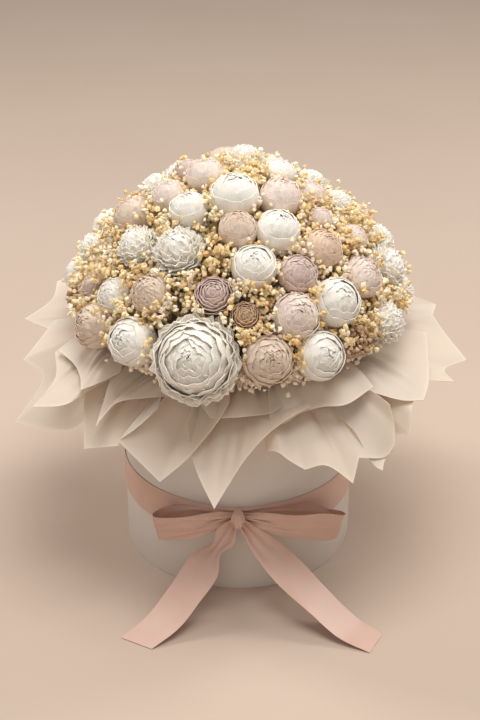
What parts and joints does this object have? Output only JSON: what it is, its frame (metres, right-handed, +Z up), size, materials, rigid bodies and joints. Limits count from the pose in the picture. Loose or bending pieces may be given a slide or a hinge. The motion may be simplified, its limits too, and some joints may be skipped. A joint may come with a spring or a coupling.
{
  "type": "flower box",
  "caption": "Round cardboard hat box tied with a satin bow, holding a domed insert of everlasting blooms and dried gypsophila in a collar of folded film sheets.",
  "frame": {"origin": "centre of the box's underside, on the table", "axes": "+Z up, -Y towards the front where the bow is, +X to the right when the bow is seen from in front"},
  "size_m": [0.4494, 0.444, 0.435],
  "materials": {
    "box_board": "matte",
    "satin": "satin",
    "liner_film": "gloss",
    "foam": "matte",
    "bamboo": "matte",
    "calyx": "matte",
    "gypsophila": "matte",
    "collar_film": "satin",
    "white_petal": "satin",
    "taupe_petal": "satin",
    "blush_petal": "satin",
    "mauve_petal": "satin",
    "brown_petal": "matte"
  },
  "bodies": {
    "box": {"box_wall": "box_board", "box_base": "box_board", "ribbon_band": "satin", "bow_knot": "satin", "bow_loop_left": "satin", "bow_loop_right": "satin", "ribbon_tail_left": "satin", "ribbon_tail_right": "satin"},
    "arrangement": {"liner": "liner_film", "foam_block": "foam", "flower_stems": "bamboo", "calyx_cups": "calyx", "gypsophila_front": "gypsophila", "gypsophila_right": "gypsophila", "gypsophila_back": "gypsophila", "gypsophila_left": "gypsophila", "paper_sheet_1": "collar_film", "paper_sheet_2": "collar_film", "paper_sheet_3": "collar_film", "paper_sheet_4": "collar_film", "paper_sheet_5": "collar_film", "paper_sheet_6": "collar_film", "paper_sheet_7": "collar_film", "paper_sheet_8": "collar_film", "paper_sheet_9": "collar_film", "paper_sheet_10": "collar_film", "paper_sheet_11": "collar_film", "open_rose": "white_petal", "white_peony_1": "white_petal", "white_peony_2": "white_petal", "white_peony_3": "white_petal", "white_peony_4": "white_petal", "white_peony_5": "white_petal", "white_peony_6": "white_petal", "taupe_peony_1": "taupe_petal", "taupe_peony_2": "taupe_petal", "taupe_peony_3": "taupe_petal", "taupe_peony_4": "taupe_petal", "blush_peony_1": "blush_petal", "blush_peony_2": "blush_petal", "blush_peony_3": "blush_petal", "peach_peony": "blush_petal", "pink_peony": "blush_petal", "mauve_pompon": "mauve_petal", "beige_pompon": "taupe_petal", "white_pompon": "white_petal", "mauve_rose": "mauve_petal", "brown_rose": "brown_petal", "white_carnation_1": "white_petal", "white_carnation_2": "white_petal", "white_carnation_3": "white_petal", "white_carnation_4": "white_petal", "white_carnation_5": "white_petal", "top_carnation": "white_petal", "dried_hydrangea": "brown_petal", "small_peonies": "blush_petal", "side_blooms": "white_petal", "back_peonies": "white_petal", "back_carnations": "white_petal", "back_roses": "mauve_petal"}
  },
  "joints": [
    {"name": "insert_lift", "type": "slide", "parent": "box", "child": "arrangement", "axis": [0, 0, 1], "range_m": [0, 0.25]}
  ]
}
